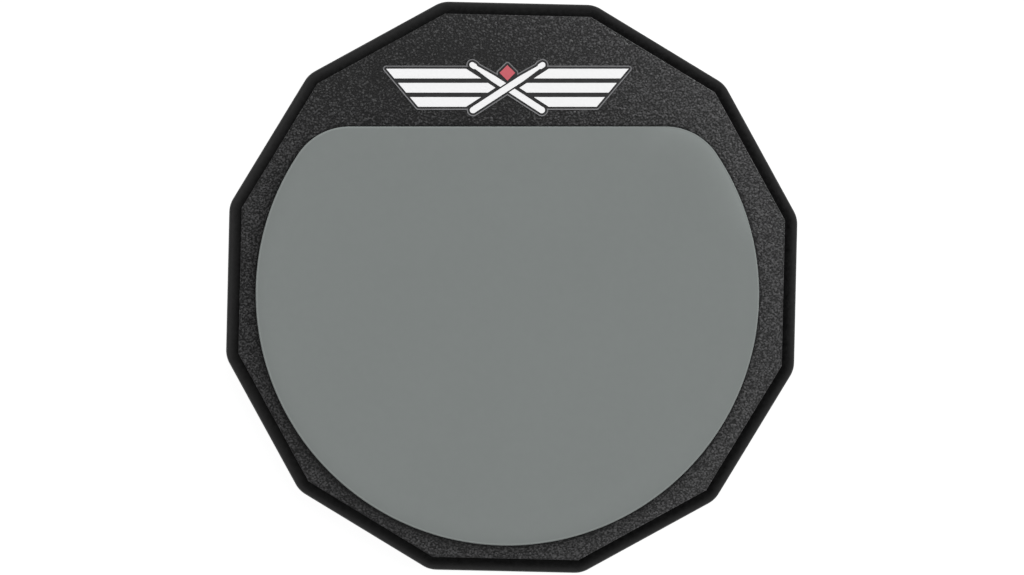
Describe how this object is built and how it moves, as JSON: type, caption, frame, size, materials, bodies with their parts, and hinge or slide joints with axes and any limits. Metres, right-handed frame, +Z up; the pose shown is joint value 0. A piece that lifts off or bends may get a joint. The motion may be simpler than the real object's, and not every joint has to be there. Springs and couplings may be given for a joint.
{
  "type": "drum practice pad",
  "caption": "Flat twelve-sided drum practice pad: rounded black base, textured face and a round gum-rubber playing surface with one straight side.",
  "frame": {"origin": "under the middle of the twelve-sided base, on the surface that the pad rests on", "axes": "+Z up out of the playing surface; +Y from the middle towards the emblem; four of the base's flats face +X, -X, +Y and -Y"},
  "size_m": [0.3048, 0.3048, 0.0254],
  "materials": {
    "board_paint": "dense fibreboard under smooth satin black paint",
    "face_sheet": "thin black sheet with a fine stippled grain",
    "adhesive": "dried contact cement film",
    "non_slip_rubber": "matt black rubber sheet with a fine moulded grip texture",
    "gum_rubber": "smooth matt grey gum rubber",
    "emblem_film": "clear transfer film over the black sheet, slightly shiny",
    "emblem_white": "white ink",
    "emblem_red": "dull red ink"
  },
  "bodies": {
    "root": {"base_board": "board_paint", "face_sheet": "face_sheet", "face_sheet_adhesive": "adhesive", "non_slip_base": "non_slip_rubber", "non_slip_base_adhesive": "adhesive", "playing_surface": "gum_rubber", "playing_surface_adhesive": "adhesive", "emblem_film": "emblem_film", "emblem_white_print": "emblem_white", "emblem_red_print": "emblem_red"}
  },
  "joints": []
}
